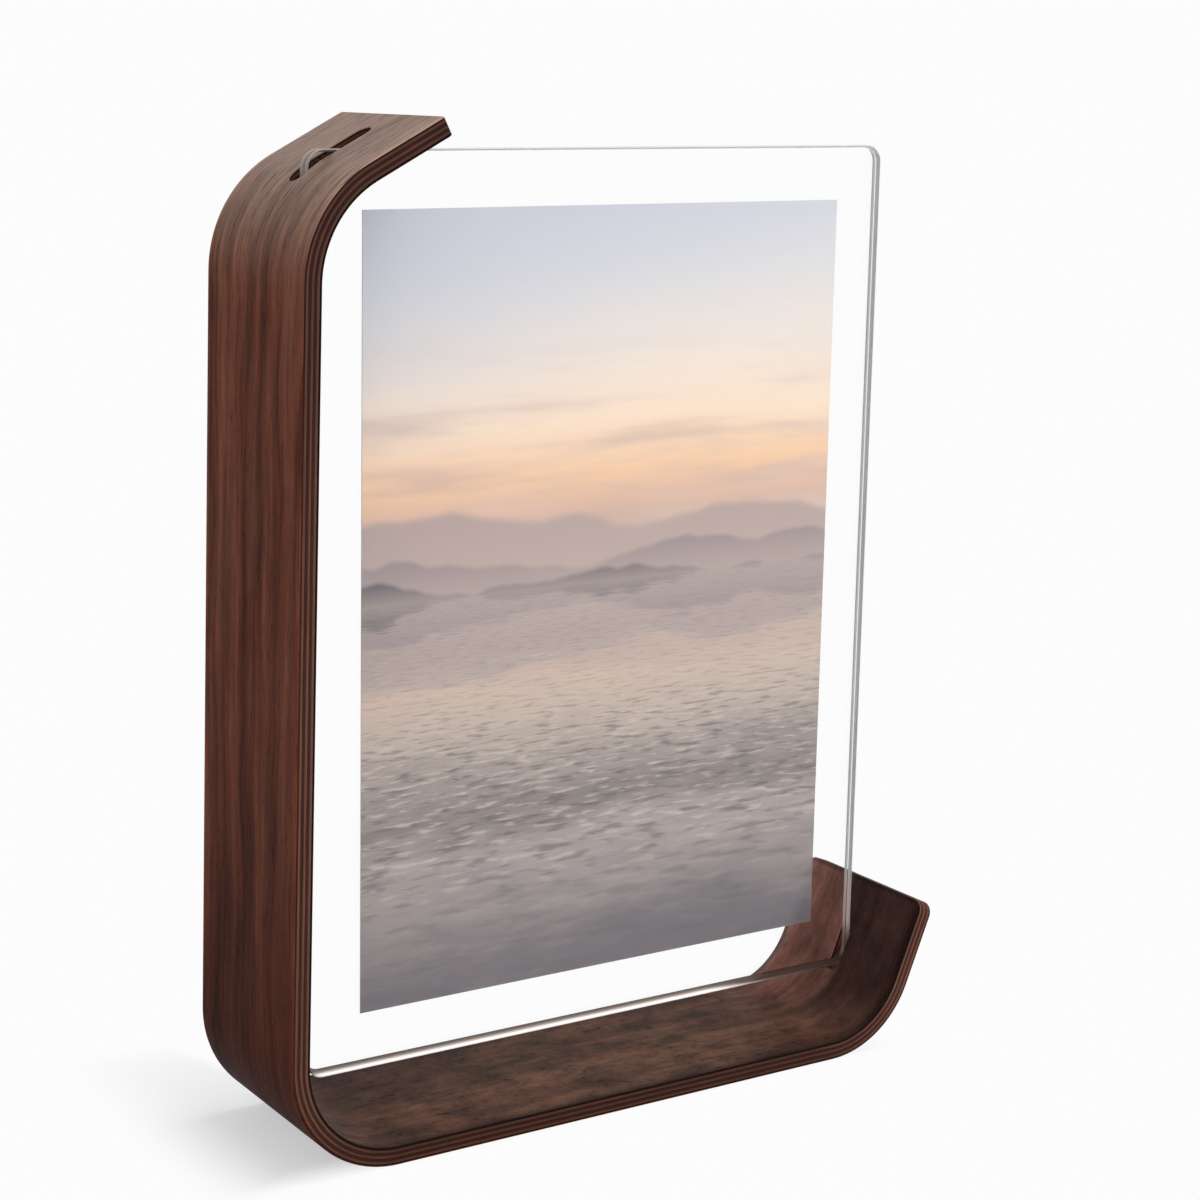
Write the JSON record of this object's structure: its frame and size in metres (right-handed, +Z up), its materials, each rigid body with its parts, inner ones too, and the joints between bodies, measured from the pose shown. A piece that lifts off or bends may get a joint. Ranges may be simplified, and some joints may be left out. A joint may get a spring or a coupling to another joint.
{
  "type": "bentwood picture frame",
  "caption": "Free-standing picture frame: a bent laminated-wood strip that grips two clear sheets by opposite corners, with a print between them.",
  "frame": {"origin": "on the table, under the middle of the frame's overall width and depth", "axes": "+X to the right along the base, from the leg to the turned-up side end; +Y to the back; +Z up"},
  "size_m": [0.1757, 0.0446, 0.2245],
  "materials": {
    "outer_face_veneer": "dark walnut, satin oil",
    "core_ply_1": "paler veneer, sanded edge",
    "core_ply_2": "dark veneer, sanded edge",
    "core_ply_3": "paler veneer, sanded edge",
    "core_ply_4": "dark veneer, sanded edge",
    "core_ply_5": "paler veneer, sanded edge",
    "inner_face_veneer": "dark walnut, satin oil",
    "front_sheet": "clear, polished faces, ground edges",
    "back_sheet": "clear, polished faces, ground edges",
    "photo_print": "coated photo paper with a printed dusk landscape"
  },
  "bodies": {
    "frame": {"outer_face_veneer": "outer_face_veneer", "core_ply_1": "core_ply_1", "core_ply_2": "core_ply_2", "core_ply_3": "core_ply_3", "core_ply_4": "core_ply_4", "core_ply_5": "core_ply_5", "inner_face_veneer": "inner_face_veneer", "front_sheet": "front_sheet", "back_sheet": "back_sheet"},
    "print": {"photo_print": "photo_print"}
  },
  "joints": [
    {"name": "print_slide", "type": "slide", "parent": "frame", "child": "print", "axis": [0.7071, 0, 0.7071], "range_m": [0, 0.2]}
  ]
}
